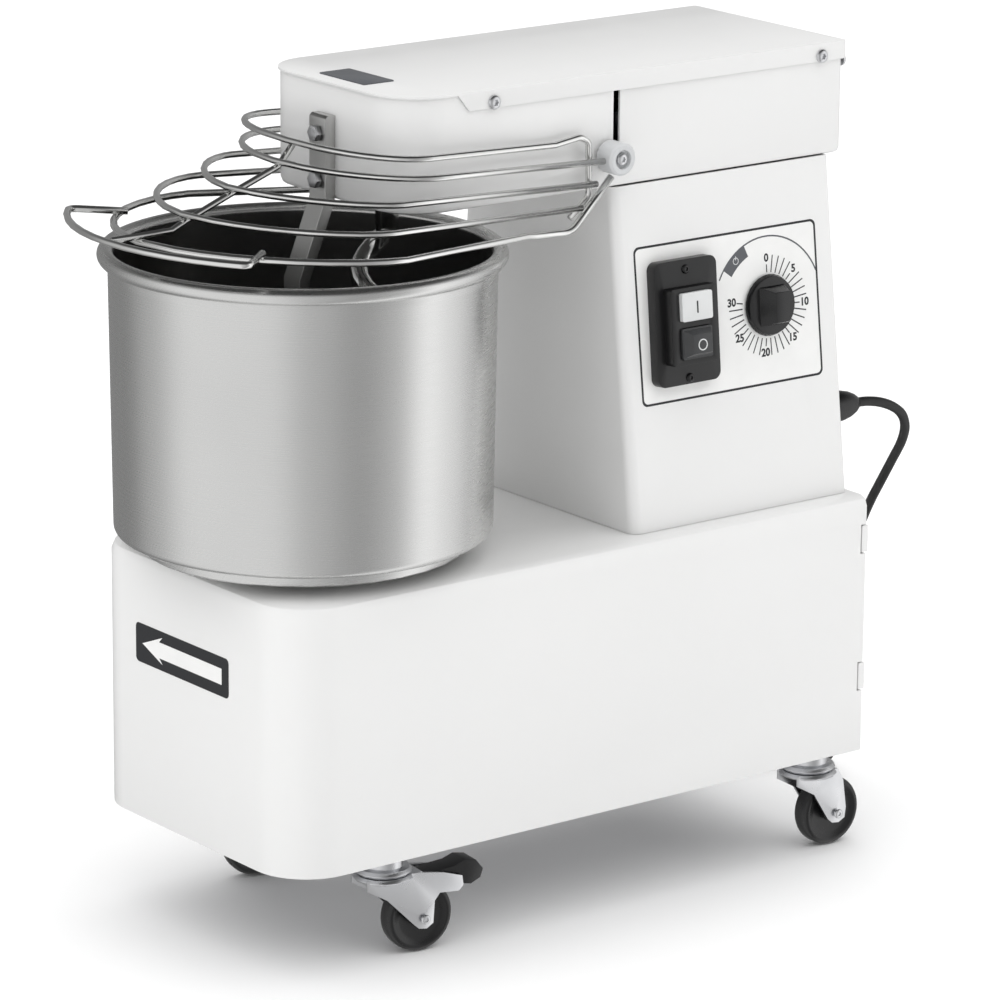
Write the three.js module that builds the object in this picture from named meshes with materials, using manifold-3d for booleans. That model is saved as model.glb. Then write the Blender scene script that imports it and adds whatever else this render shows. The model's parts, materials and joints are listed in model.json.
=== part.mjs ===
// Spiral dough mixer with a 10 litre bowl, on four swivel casters.
// Millimetres, +Z up. The origin is on the floor below the centre of the machine's bounding box,
// the bowl stands at -Y, the column at +Y, and the control panel is on the column's +X side.
import * as THREE from "three";
import { mergeVertices } from "three/addons/utils/BufferGeometryUtils.js";
import Module from "manifold-3d";

const wasm = await Module();
wasm.setup();

// ---------------------------------------------------------------- driving dimensions

const GAP = 0.3; // between pieces that touch, and round a shaft in its bore
const SHEET = 2; // sheet steel of the housings

const BASE = { side: 119.7, front: -219.5, rear: 275, bottom: 74, top: 261, corner: 40, bend: 7 };
const COLUMN = {
  footSide: 104,
  topSide: 80.5,
  front: 77.2,
  rear: 269,
  corner: 8,
  rearCorner: 2.5,
  lean: -5.2, // how far its front face has come forwards at the top
};
const HEAD = { side: 80.9, front: -103, rear: 276.5, bottom: 500.2, top: 577.5, corner: 35, bend: 4 };
const COVER = { plate: 1.5, lap: 1.5, lip: 11, lipFront: -48.7, notch: 10 };

const BOWL = {
  y: -125,
  side: 130,
  foot: 128,
  wall: 1.5,
  bottom: 277,
  rimRadius: 131.6,
  rimHeight: 467,
  curl: 5.6,
};
const TURNTABLE = { radius: 111, bottom: 267, shaft: 15, shaftEnd: 208 };
const SPIRAL = {
  y: -56,
  shaft: 8,
  rod: 6.7,
  reach: 46.7, // the radius that it winds out towards
  growth: 0.473, // how many turns it takes to come near that radius
  top: 473.7,
  turns: 1.8,
  fall: 99.7, // per turn
  start: -199.4, // the angle at its top, in degrees
};
const BREAKER = { x: -3, width: 18.5, depth: 8, top: 558, knee: 501, foot: 448, shift: 21, end: 288 };

const MAIN_SHAFT = { y: 150, radius: 10, bottom: 147, top: 558 };
const CHAIN = { pitch: 12.7, height: 9, plate: 1.3, wall: 1, lowerLevel: 219.5, upperLevel: 545.5 };
const TEETH = { bowl: 40, lowerDrive: 10, upperDrive: 18, spiral: 12 };
const SPROCKET_THICKNESS = 5;

const GUARD = { pivotY: 67.5, pivotZ: 523, wire: 4.6, frameWire: 5, slope: -0.045 };
const BUSH = { radius: 11.3, inner: 82.9, outer: 99, bore: 2.8 };
const GUARD_SHAFT = { radius: 2.5, half: 94 };

const PANEL = { switchY: 126, knobY: 204.7, z: 402.8 };
const SWITCH = {
  width: 54.5,
  height: 86,
  proud: 8.5,
  corner: 6,
  blockWidth: 40.6,
  blockHeight: 53,
  blockProud: 17,
};
const KNOB = { skirt: 21.7, skirtHeight: 5, height: 16.5, gripBase: [23, 28], gripTop: [12.4, 21] };

const CASTER = { x: 95, frontY: -127.7, rearY: 247.2, wheel: 25, tread: 14, top: 73.7, cheek: 10 };

const GLAND = { x: 78, z: 316.5, radius: 11.6, length: 30.7 };
const CORD = { diameter: 7, coilX: -106, coilY: 344, coilRadius: 38.5 };
const REAR_PANEL = { side: 114, bottom: 82, top: 248, thickness: 1.5, screwX: 109, screwZ: 161 };

// ---------------------------------------------------------------- materials

function finish(color, roughness, metalness) {
  return new THREE.MeshStandardMaterial({ color, roughness, metalness });
}

const paint = finish(0xf2f2f0, 0.35, 0);
const steel = finish(0xb9bbbd, 0.32, 1);
const chrome = finish(0xd6d8da, 0.12, 1);
const zinc = finish(0xc4c6c8, 0.35, 1);
const blackPlastic = finish(0x17181a, 0.5, 0);
const greyPlastic = finish(0xc9cac8, 0.45, 0);
const whitePlastic = finish(0xe9e8e4, 0.4, 0);
const rubber = finish(0x101011, 0.6, 0);
const castIron = finish(0x4a4d50, 0.6, 0.8);
const chainSteel = finish(0x5c5a55, 0.45, 1);
const motorPaint = finish(0x6f7a80, 0.5, 0.2);

// ---------------------------------------------------------------- solids and shapes

function solidFrom(geometry) {
  const bare = geometry.index ? geometry.toNonIndexed() : geometry.clone();
  bare.deleteAttribute("normal");
  bare.deleteAttribute("uv");
  const merged = mergeVertices(bare, 1e-4);
  const mesh = new wasm.Mesh({
    numProp: 3,
    vertProperties: merged.attributes.position.array,
    triVerts: new Uint32Array(merged.index.array),
  });
  return new wasm.Manifold(mesh);
}

function geometryFrom(solid) {
  const mesh = solid.getMesh();
  const geometry = new THREE.BufferGeometry();
  geometry.setAttribute("position", new THREE.BufferAttribute(mesh.vertProperties, 3));
  geometry.setIndex(new THREE.BufferAttribute(mesh.triVerts, 1));
  return geometry;
}

function join(...geometries) {
  return geometryFrom(geometries.map(solidFrom).reduce((a, b) => a.add(b)));
}

function cut(body, ...tools) {
  return geometryFrom(tools.map(solidFrom).reduce((a, b) => a.subtract(b), solidFrom(body)));
}

function box(x0, x1, y0, y1, z0, z1) {
  const block = new THREE.BoxGeometry(x1 - x0, y1 - y0, z1 - z0);
  return block.translate((x0 + x1) / 2, (y0 + y1) / 2, (z0 + z1) / 2);
}

// Cylinders along Z, X and Y.
function rod(radius, z0, z1, sides = 24) {
  const cylinder = new THREE.CylinderGeometry(radius, radius, z1 - z0, sides);
  return cylinder.rotateX(Math.PI / 2).translate(0, 0, (z0 + z1) / 2);
}

function rodX(radius, x0, x1, sides = 24) {
  return rod(radius, x0, x1, sides).rotateY(Math.PI / 2);
}

function rodY(radius, y0, y1, sides = 24) {
  return rod(radius, -y1, -y0, sides).rotateX(Math.PI / 2);
}

// A turned solid about Z: profile points are [radius, height], anticlockwise with the axis on the left.
function turned(profile, segments = 32) {
  const points = profile.map(([r, h]) => new THREE.Vector2(r, h));
  return new THREE.LatheGeometry(points, segments).rotateX(Math.PI / 2);
}

function prism(shape, z0, z1, curveSegments = 6) {
  const options = { depth: z1 - z0, bevelEnabled: false, curveSegments };
  return new THREE.ExtrudeGeometry(shape, options).translate(0, 0, z0);
}

// A rectangle with one radius on its front (-Y) corners and another on its rear corners.
function outline(x0, x1, y0, y1, front, rear) {
  const shape = new THREE.Shape();
  shape.moveTo(x0 + front, y0);
  shape.lineTo(x1 - front, y0);
  shape.absarc(x1 - front, y0 + front, front, -Math.PI / 2, 0);
  shape.lineTo(x1, y1 - rear);
  shape.absarc(x1 - rear, y1 - rear, rear, 0, Math.PI / 2);
  shape.lineTo(x0 + rear, y1);
  shape.absarc(x0 + rear, y1 - rear, rear, Math.PI / 2, Math.PI);
  shape.lineTo(x0, y0 + front);
  shape.absarc(x0 + front, y0 + front, front, Math.PI, Math.PI * 1.5);
  return shape;
}

function polygon(points) {
  return new THREE.Shape(points.map(([x, y]) => new THREE.Vector2(x, y)));
}

// A box with vertical corner radii whose top and bottom edges are rounded as well.
function softBox(o, z0, z1, bend) {
  const shape = outline(-o.side + bend, o.side - bend, o.front + bend, o.rear - bend, o.corner - bend, 1);
  const options = {
    depth: z1 - z0 - 2 * bend,
    bevelThickness: bend,
    bevelSize: bend,
    bevelSegments: 2,
    curveSegments: 5,
  };
  return new THREE.ExtrudeGeometry(shape, options).translate(0, 0, z0 + bend);
}

function inset(o, by) {
  return { side: o.side - by, front: o.front + by, rear: o.rear - by, corner: o.corner - by };
}

// A path through given stations, which an extrusion follows station by station.
class StationPath extends THREE.Curve {
  constructor(stations) {
    super();
    this.stations = stations;
  }

  getPoint(t) {
    const last = this.stations.length - 1;
    const index = Math.min(Math.floor(t * last + 1e-6), last - 1);
    return this.stations[index].clone().lerp(this.stations[index + 1], t * last - index);
  }

  getPointAt(u) {
    return this.getPoint(u);
  }

  getTangentAt(u) {
    const last = this.stations.length - 1;
    const index = Math.round(u * last);
    const before = this.stations[Math.max(index - 1, 0)];
    const after = this.stations[Math.min(index + 1, last)];
    return after.clone().sub(before).normalize();
  }
}

function section(radius, sides) {
  const turn = (2 * Math.PI) / sides;
  const corner = (_, i) => [radius * Math.cos(i * turn), radius * Math.sin(i * turn)];
  return polygon(Array.from({ length: sides }, corner));
}

function tube(stations, radius, sides = 8) {
  const path = new StationPath(stations);
  return new THREE.ExtrudeGeometry(section(radius, sides), { steps: stations.length - 1, extrudePath: path });
}

const vec = (x, y, z) => new THREE.Vector3(x, y, z);

// Rounds the inner corners of a polyline: each corner becomes an arc of the given radius.
function filleted(corners, radius, steps = 3) {
  const stations = [corners[0]];
  for (let i = 1; i < corners.length - 1; i++) {
    const back = corners[i - 1].clone().sub(corners[i]).normalize();
    const ahead = corners[i + 1].clone().sub(corners[i]).normalize();
    const half = back.angleTo(ahead) / 2;
    const reach = radius / Math.tan(half);
    const inwards = back.clone().add(ahead).normalize();
    const centre = corners[i].clone().addScaledVector(inwards, radius / Math.sin(half));
    const from = corners[i].clone().addScaledVector(back, reach).sub(centre);
    const to = corners[i].clone().addScaledVector(ahead, reach).sub(centre);
    for (let s = 0; s <= steps; s++) {
      const swing = Math.PI - 2 * half;
      const a = Math.sin((1 - s / steps) * swing) / Math.sin(swing);
      const b = Math.sin((s / steps) * swing) / Math.sin(swing);
      stations.push(centre.clone().addScaledVector(from, a).addScaledVector(to, b));
    }
  }
  stations.push(corners.at(-1));
  return stations;
}

const mixer = new THREE.Group();

function add(name, geometry, material, parent = mixer) {
  const mesh = new THREE.Mesh(geometry, material);
  mesh.name = name;
  parent.add(mesh);
  return mesh;
}

// ---------------------------------------------------------------- base

// A soft-edged box whose rear end is cut off square at y.
function squareEnded(o, z0, z1, bend) {
  const longer = { ...o, rear: o.rear + 20 };
  return cut(softBox(longer, z0, z1, bend), box(-200, 200, o.rear, o.rear + 50, z0 - 1, z1 + 1));
}

function baseHousing() {
  const below = 30; // the outer form runs on below the edge, where it is cut off square
  const outer = squareEnded(BASE, BASE.bottom - below, BASE.top, BASE.bend);
  const hollow = squareEnded(inset(BASE, SHEET), BASE.bottom - below, BASE.top - SHEET, BASE.bend - SHEET);
  const cutOff = box(-200, 200, -300, 400, 0, BASE.bottom);
  const rearOpening = box(-104, 104, BASE.rear - 10, BASE.rear + 10, 90, 242);
  const shaftHole = rod(22, BASE.top - 10, BASE.top + 10).translate(0, BOWL.y, 0);
  const columnHole = box(-60, 60, 105, 235, BASE.top - 10, BASE.top + 10);
  const slots = HOOKS.map(([side, z]) => hook(side, z, 1.2));
  return cut(outer, hollow, cutOff, rearOpening, shaftHole, columnHole, ...slots, ...rearScrewHoles());
}

// The rear panel hooks into the rear edges of the base, two hooks on each side, and a screw holds each side.
const HOOK_HEIGHT = 19;
const HOOKS = [-1, 1].flatMap((side) => [230, 129].map((z) => [side, z]));

function hook(side, z, grow) {
  const reach = [side * (BASE.side - 3.4 - grow), side * (BASE.side - 0.2 + grow)].sort((a, b) => a - b);
  const half = HOOK_HEIGHT / 2 + grow;
  return box(...reach, BASE.rear - 3.6 - grow, BASE.rear + 1.4, z - half, z + half);
}

function rearScrewHoles() {
  const { screwX, screwZ } = REAR_PANEL;
  const hole = () => rodY(2.3, BASE.rear - 10, BASE.rear + 10, 12);
  return [-1, 1].map((side) => hole().translate(side * screwX, 0, screwZ));
}

function rearPanel() {
  const { side: half, bottom, top, thickness } = REAR_PANEL;
  const y0 = BASE.rear + GAP;
  const plate = prism(outline(-half, half, bottom, top, 4, 4), -y0 - thickness, -y0, 2).rotateX(Math.PI / 2);
  const arms = HOOKS.map(([side, z]) => {
    const reach = [side * (half - 4), side * (BASE.side - 0.2)].sort((a, b) => a - b);
    return box(...reach, y0, y0 + thickness, z - HOOK_HEIGHT / 2, z + HOOK_HEIGHT / 2);
  });
  const hooks = HOOKS.map(([side, z]) => hook(side, z, 0));
  return cut(join(plate, ...arms, ...hooks), ...rearScrewHoles());
}

function rearPanelScrew(side) {
  const { screwX, screwZ, thickness } = REAR_PANEL;
  const face = BASE.rear + GAP + thickness + GAP;
  const profile = [[0, -5], [1.9, -5], [1.9, 0], [4.2, 0], [3.8, 1.6], [2.2, 2.4], [0, 2.4]];
  return turned(profile, 12).rotateX(-Math.PI / 2).translate(side * screwX, face, screwZ);
}

function floorPlate() {
  const o = inset(BASE, SHEET + GAP);
  return prism(outline(-o.side, o.side, o.front, o.rear, o.corner, 1), BASE.bottom, BASE.bottom + 2, 5);
}

// ---------------------------------------------------------------- column and head

function columnSide(z) {
  const share = (z - BASE.top) / (HEAD.bottom - BASE.top);
  return COLUMN.footSide + share * (COLUMN.topSide - COLUMN.footSide);
}

function columnLean(z) {
  return (COLUMN.lean * (z - BASE.top)) / (HEAD.bottom - BASE.top);
}

// A prism narrowed towards the head and leaning a little forward, like the column.
function columnForm(shrink, z0, z1) {
  const side = COLUMN.footSide - shrink;
  const shape = outline(
    -side,
    side,
    COLUMN.front + shrink,
    COLUMN.rear - shrink,
    COLUMN.corner - shrink,
    COLUMN.rearCorner - shrink,
  );
  const form = prism(shape, z0, z1, 4);
  const place = form.attributes.position;
  for (let i = 0; i < place.count; i++) {
    const z = place.getZ(i);
    place.setX(i, (place.getX(i) * (columnSide(z) - shrink)) / side);
    place.setY(i, place.getY(i) + columnLean(z));
  }
  return form;
}

// The frame of the control panel: its +X axis stands square on the column's +X side.
const panelTilt = Math.atan((COLUMN.footSide - COLUMN.topSide) / (HEAD.bottom - BASE.top));

function panelGroup(y) {
  const group = new THREE.Group();
  group.position.set(columnSide(PANEL.z), y, PANEL.z);
  group.rotation.y = -panelTilt;
  group.updateMatrix();
  mixer.add(group);
  return group;
}

const switchGroup = panelGroup(PANEL.switchY);
const knobGroup = panelGroup(PANEL.knobY);

function columnHousing() {
  const outer = columnForm(0, BASE.top + GAP, HEAD.bottom - GAP);
  const hollow = columnForm(SHEET, BASE.top - 20, HEAD.bottom + 20);
  const switchHole = box(-15, 15, -21, 21, -35, 35).applyMatrix4(switchGroup.matrix);
  const timerHole = rodX(5, -15, 15).applyMatrix4(knobGroup.matrix);
  const glandHole = rodY(9, 240, 290).translate(GLAND.x, 0, GLAND.z);
  return cut(outer, hollow, switchHole, timerHole, glandHole);
}

function headHousing() {
  const above = 30;
  const outer = softBox(HEAD, HEAD.bottom, HEAD.top + above, HEAD.bend);
  const hollow = softBox(inset(HEAD, SHEET), HEAD.bottom + SHEET, HEAD.top + above, HEAD.bend - SHEET);
  const cutOff = box(-200, 200, -300, 400, HEAD.top, HEAD.top + 2 * above);
  const spiralHole = rod(12, HEAD.bottom - 10, HEAD.bottom + 10).translate(0, SPIRAL.y, 0);
  const columnHole = box(-55, 55, 95, 235, HEAD.bottom - 10, HEAD.bottom + 10);
  // The guard's shaft drops in through a slot in each side, then slides forward to its seat.
  const clear = GUARD_SHAFT.radius + GAP;
  const { pivotY, pivotZ } = GUARD;
  const [slotFront, slotRear] = [pivotY + 5.2, pivotY + 5.2 + 2 * clear];
  const slot = box(-100, 100, slotFront, slotRear, pivotZ - clear, HEAD.top + 5);
  const channel = box(-100, 100, pivotY, slotRear, pivotZ - clear, pivotZ + clear);
  const seat = rodX(clear + 0.2, -100, 100, 16).translate(0, pivotY, pivotZ);
  return cut(outer, hollow, cutOff, spiralHole, columnHole, slot, channel, seat);
}

function headCover() {
  const z0 = HEAD.top + GAP;
  const grown = inset(HEAD, -COVER.lap);
  const grownOutline = outline(-grown.side, grown.side, grown.front, grown.rear, grown.corner, 3);
  const plate = prism(grownOutline, z0, z0 + COVER.plate, 8);
  const lip = prism(grownOutline, z0 - COVER.lip, z0, 8);
  const inner = inset(HEAD, -GAP);
  const room = prism(outline(-inner.side, inner.side, inner.front, inner.rear, inner.corner, 2), 0, z0, 8);
  // The lip starts behind the head's front corners with a slanted end.
  const noLip = prism(
    polygon([
      [-300, z0],
      [COVER.lipFront - COVER.notch, z0],
      [COVER.lipFront, z0 - COVER.lip - 1],
      [-300, z0 - COVER.lip - 1],
    ]),
    -200,
    200,
  );
  noLip.rotateX(Math.PI / 2).rotateZ(Math.PI / 2);
  return join(plate, cut(lip, room, noLip));
}

// ---------------------------------------------------------------- bowl and its drive

function bowl() {
  const { side, foot, wall, bottom, rimHeight } = BOWL;
  const outer = [[0, bottom], [foot - 4, bottom], [foot - 1.2, bottom + 1.2], [foot, bottom + 4]];
  const inner = [
    [side - wall, rimHeight - 10],
    [foot - wall, bottom + 6],
    [foot - wall - 3, bottom + wall],
    [0, bottom + wall],
  ];
  return turned([...outer, ...rolledRim(), ...inner], 36).translate(0, BOWL.y, 0);
}

// The rolled rim: the wall necks in a little, then runs over and down outside itself.
function rolledRim() {
  const { side, rimRadius, rimHeight, curl } = BOWL;
  const thickness = 1.2;
  const steps = 5;
  const bend = (radius, i) => {
    const angle = Math.PI - (1.35 * Math.PI * i) / steps;
    return [rimRadius + radius * Math.cos(angle), rimHeight + radius * Math.sin(angle)];
  };
  const under = Array.from({ length: steps + 1 }, (_, i) => bend(curl - thickness, i));
  const over = Array.from({ length: steps + 1 }, (_, i) => bend(curl, steps - i));
  return [[side, rimHeight - 10], [rimRadius - curl + thickness, rimHeight - 5], ...under, ...over];
}

function turntable() {
  const { radius, bottom, shaft, shaftEnd } = TURNTABLE;
  const top = BOWL.bottom - GAP;
  const profile = [
    [0, shaftEnd],
    [shaft, shaftEnd],
    [shaft, bottom - 2],
    [20, bottom - 2],
    [20, bottom],
    [radius - 1, bottom],
    [radius, bottom + 1],
    [radius, top],
    [0, top],
  ];
  return turned(profile, 32).translate(0, BOWL.y, 0);
}

function bowlBearing() {
  const top = BASE.top - SHEET - GAP;
  const bore = TURNTABLE.shaft + GAP;
  const profile = [[bore, top - 28], [33, top - 28], [33, top - 7], [46, top - 7], [46, top], [bore, top]];
  return turned([...profile, profile[0]], 24).translate(0, BOWL.y, 0);
}

function pitchRadius(teeth) {
  return CHAIN.pitch / (2 * Math.sin(Math.PI / teeth));
}

// A chain sprocket at a level, with pointed teeth that reach between its plates, and its hub.
function sprocket(teeth, level, bore, hub) {
  const pitch = pitchRadius(teeth);
  const points = [];
  for (let i = 0; i < teeth; i++) {
    for (const [share, radius] of [[0, pitch - 3], [0.5, pitch + 2.3]]) {
      const angle = ((i + share) * 2 * Math.PI) / teeth;
      points.push([radius * Math.cos(angle), radius * Math.sin(angle)]);
    }
  }
  const half = SPROCKET_THICKNESS / 2;
  const disc = prism(polygon(points), level - half, level + half);
  return cut(join(disc, rod(hub, level - 8, level + half + 1)), rod(bore, level - 20, level + 20));
}

// The outline of a chain's path round two wheels, moved outwards by an offset.
function loopShape(y0, r0, y1, r1, offset) {
  const tilt = Math.asin((r0 - r1) / (y1 - y0));
  const shape = new THREE.Shape();
  shape.absarc(0, y0, r0 + offset, Math.PI - tilt, 2 * Math.PI + tilt);
  shape.absarc(0, y1, r1 + offset, tilt, Math.PI - tilt);
  return shape;
}

function chain(y0, teeth0, y1, teeth1, level) {
  const form = (offset, z0, z1) =>
    prism(loopShape(y0, pitchRadius(teeth0), y1, pitchRadius(teeth1), offset), z0, z1, 8);
  const half = CHAIN.height / 2;
  const outside = 3.3 + CHAIN.wall;
  const body = form(outside, level - half, level + half);
  const race = form(3.3, level - half + CHAIN.plate, level + half - CHAIN.plate);
  return cut(body, race, form(-3.5, level - 20, level + 20));
}

function mainShaft() {
  const profile = [
    [0, MAIN_SHAFT.bottom],
    [MAIN_SHAFT.radius, MAIN_SHAFT.bottom],
    [MAIN_SHAFT.radius, MAIN_SHAFT.top],
    [0, MAIN_SHAFT.top],
  ];
  return turned(profile, 20).translate(0, MAIN_SHAFT.y, 0);
}

function shaftBearing(y, bore, level) {
  const flange = [[bore, level], [38, level], [38, level + 5], [26, level + 6]];
  const profile = [...flange, [24, level + 28], [bore, level + 28]];
  return turned([...profile, profile[0]], 24).translate(0, y, 0);
}

function gearbox() {
  const z0 = BASE.bottom + 2 + GAP;
  const feet = box(-55, 55, 107, 200, z0, z0 + 8);
  const body = box(-42, 42, 106, 194, z0, 174);
  const neck = rod(26, 173, 186).translate(0, MAIN_SHAFT.y, 0);
  const bore = rod(MAIN_SHAFT.radius + GAP, 142, 202, 20).translate(0, MAIN_SHAFT.y, 0);
  return cut(join(feet, body, neck), bore);
}

function motor() {
  const flange = rodY(52, 98, 106 - GAP, 28);
  const can = rodY(49, -56, 99, 28);
  const fan = rodY(44, -70, -55, 28);
  const terminals = box(-22, 22, 10, 70, 40, 62);
  return join(flange, can, fan, terminals).translate(0, 0, 130);
}

// ---------------------------------------------------------------- spiral and breaker bar

function spiralHook() {
  const { y, shaft, rod: radius, reach, growth, top, turns, fall, start } = SPIRAL;
  const count = 40;
  const stations = Array.from({ length: count + 1 }, (_, i) => {
    const turn = (turns * i) / count;
    const out = reach * (1 - Math.exp(-turn / growth));
    const angle = (start * Math.PI) / 180 + 2 * Math.PI * turn;
    return vec(out * Math.cos(angle), out * Math.sin(angle), top - fall * turn);
  });
  stations.unshift(vec(0, 0, top + 8));
  const profile = [
    [0, top - 2],
    [radius, top - 2],
    [shaft, top + 4],
    [shaft, MAIN_SHAFT.top],
    [0, MAIN_SHAFT.top],
  ];
  return join(turned(profile, 20), tube(stations, radius, 10)).translate(0, y, 0);
}

// The flat bar that holds the dough back: bolted to the head's front, it steps forward to the bowl's centre.
function breakerBar() {
  const { width, depth, top, knee, foot, shift, end } = BREAKER;
  const back = HEAD.front - GAP;
  const side = polygon([
    [back, top],
    [back - depth + 2, top],
    [back - depth, top - 2],
    [back - depth, knee + 1],
    [back - depth - shift, foot + 1],
    [back - depth - shift, end],
    [back - shift, end],
    [back - shift, foot - 1],
    [back, knee - 1],
  ]);
  const bar = prism(side, -width / 2, width / 2).rotateX(Math.PI / 2).rotateZ(Math.PI / 2);
  return bar.translate(BREAKER.x, 0, 0);
}

function breakerBolt(level) {
  const face = HEAD.front - GAP - BREAKER.depth - GAP;
  const head = section(5.8, 6);
  return prism(head, 0, 4).rotateX(Math.PI / 2).translate(BREAKER.x, face, level);
}

// ---------------------------------------------------------------- guard

// A horseshoe of wire: a rounded front and two legs that run back towards the pivot.
// w half-width where the legs start, y1 their start, yf the front, bulge the roundness of the front.
const RINGS = {
  guard_ring_top: { w: 93, y1: -88, front: -137, bulge: 2.25, z: 544, legX: 87.8, legY: 17.8 },
  guard_ring_upper: { w: 96, y1: -81, front: -148, bulge: 1.93, z: 531.6, legX: 93, legY: 55.4 },
  guard_ring_middle: { w: 98, y1: -115, front: -185, bulge: 1.62, z: 518.2, legX: 93, legY: 49.5 },
  guard_ring_lower: { w: 111.5, y1: -132, front: -220.7, bulge: 1.72, z: 504.5, legX: 93, legY: 37 },
  guard_ring_frame: { w: 125, y1: -132, front: -256, bulge: 1.78, z: 490.9, legX: 94.5, legY: -10.6 },
};

function ringHeight(ring, y) {
  return ring.z + GUARD.slope * (y - ring.front);
}

function horseshoe(ring) {
  const half = [];
  const steps = 10;
  for (let i = 0; i <= steps; i++) {
    const angle = ((Math.PI / 2) * i) / steps;
    const x = ring.w * Math.sin(angle) ** (2 / ring.bulge);
    const y = ring.y1 - (ring.y1 - ring.front) * Math.cos(angle) ** (2 / ring.bulge);
    half.push(vec(x, y, ringHeight(ring, y)));
  }
  half.push(vec(ring.legX, ring.legY, ringHeight(ring, ring.legY)));
  return half;
}

const mirrored = (points) => points.map((p) => vec(-p.x, p.y, p.z));

function ring(name, grow = 0) {
  const half = horseshoe(RINGS[name]);
  half.splice(1, 1);
  const thick = name === "guard_ring_frame" ? GUARD.frameWire : GUARD.wire;
  if (name === "guard_ring_top") half.push(...topRingTail(half.at(-1)));
  if (name === "guard_ring_frame") half.push(...frameRingTail(half.at(-1)));
  return tube([...mirrored(half.slice(1)).reverse(), ...half], thick / 2 + grow, 8);
}

// The top ring turns down behind the lower rings, and its end lies along the frame ring's rise.
function topRingTail(start) {
  const x = start.x;
  const corners = [start, vec(x, 39, 540), vec(x, 46.4, 536), vec(x, 46.8, 498.5), vec(x, 31, 485.5)];
  return filleted(corners, 6, 3).slice(1);
}

// The frame ring runs level, then rises to the bush on the pivot.
function frameRingTail(start) {
  const x = 93;
  const corners = [start, vec(x, -2, 478.8), vec(x, 28.5, 477.6), vec(x, 61.9, 511.4)];
  return [corners[1], ...filleted(corners.slice(1), 14, 4).slice(1)];
}

// A rib along the middle: it runs below the upper rings, then over the frame ring to the handle.
// Where it lies on the frame ring it is notched to sit down on the wire.
function guardRib() {
  const { guard_ring_top, guard_ring_upper, guard_ring_middle, guard_ring_lower, guard_ring_frame } = RINGS;
  const upper = [guard_ring_top, guard_ring_upper, guard_ring_middle, guard_ring_lower];
  const fronts = upper.map((o) => vec(0, o.front, o.z));
  const crossing = guard_ring_frame.z + 3.4;
  const stations = [
    ...offsetBelow(fronts, GUARD.wire + GAP),
    vec(0, -230, crossing + 0.6),
    vec(0, HANDLE.front + GUARD.frameWire / 2 + GAP, crossing),
  ];
  return cut(tube(stations, GUARD.wire / 2, 8), ring("guard_ring_frame", GAP));
}

// Moves a line of points in the YZ plane, which runs forward and down, to a distance below itself.
function offsetBelow(points, distance) {
  const below = (from, to) => vec(0, to.z - from.z, from.y - to.y).normalize().negate();
  return points.map((point, i) => {
    const before = below(points[Math.max(i - 1, 0)], points[Math.max(i, 1)]);
    const after = below(points[Math.min(i, points.length - 2)], points[Math.min(i + 1, points.length - 1)]);
    const sum = before.clone().add(after);
    return point.clone().addScaledVector(sum, distance / (1 + before.dot(after)));
  });
}

// The handle stands out in front of the frame ring, and both its ends are notched to sit on that ring.
const HANDLE = {
  front: -279.6,
  cornerX: 105,
  cornerY: -241.6,
  endX: 78,
  endY: -212.5,
  z: 493.6,
  slope: -0.025,
};

function guardHandle() {
  const { front, cornerX, cornerY, endX, endY, z, slope } = HANDLE;
  const level = (y) => z + slope * (y - front);
  const sagitta = cornerY - front;
  const radius = (cornerX ** 2 + sagitta ** 2) / (2 * sagitta);
  const spread = Math.asin(cornerX / radius);
  const steps = 12;
  const arc = Array.from({ length: steps + 1 }, (_, i) => {
    const angle = spread * ((2 * i) / steps - 1);
    const y = front + radius * (1 - Math.cos(angle));
    return vec(radius * Math.sin(angle), y, level(y));
  });
  const end = (side) => vec(side * endX, endY, level(endY));
  const left = filleted([end(-1), arc[0], arc[1]], 5, 3);
  const right = filleted([arc.at(-2), arc.at(-1), end(1)], 5, 3);
  const wire = tube([...left.slice(0, -1), ...arc.slice(1, -1), ...right.slice(1)], GUARD.frameWire / 2, 8);
  return cut(wire, ring("guard_ring_frame", GAP));
}

// A round bush with a blind bore for the shaft and a recess for its screw on the outside.
function guardBush(side) {
  const { radius, inner, outer, bore } = BUSH;
  const blind = GUARD_SHAFT.half + GAP;
  const profile = [
    [0, blind],
    [bore, blind],
    [bore, inner],
    [radius - 0.8, inner],
    [radius, inner + 0.8],
    [radius, outer - 1.6],
    [radius - 1.6, outer],
    [6.6, outer],
    [6.6, outer - 3.6],
    [0, outer - 3.6],
  ];
  const bush = turned(profile, 18).rotateY((side * Math.PI) / 2);
  return bush.translate(0, GUARD.pivotY, GUARD.pivotZ);
}

function guardShaft() {
  const shaft = rodX(GUARD_SHAFT.radius, -GUARD_SHAFT.half, GUARD_SHAFT.half, 16);
  return shaft.translate(0, GUARD.pivotY, GUARD.pivotZ);
}

function guardSwitch() {
  const bottom = HEAD.bottom + SHEET + GAP;
  const lever = box(42, 48, GUARD.pivotY + 6, GUARD.pivotY + 8, bottom + 12, bottom + 28);
  return join(box(35, 55, GUARD.pivotY + 7.5, GUARD.pivotY + 34, bottom, bottom + 26), lever);
}

// ---------------------------------------------------------------- control panel, in the panel's own frame

// Turns a form drawn in the XY plane, as seen from the front, to stand on the +X side of the panel's frame.
const facing = new THREE.Matrix4().makeBasis(vec(0, 1, 0), vec(0, 0, 1), vec(1, 0, 0));

const BUTTONS = {
  start: { z: 11.8, width: 26.4, height: 19.4, proud: 20 },
  stop: { z: -13.5, width: 26.4, height: 21.4, proud: 18.5 },
};
const BLOCK_Z = -1.6; // the raised block sits a little below the middle of the switch
const BUTTON_TRAVEL = 3;

function centred(width, height, corner, z = 0) {
  return outline(-width / 2, width / 2, z - height / 2, z + height / 2, corner, corner);
}

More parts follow.
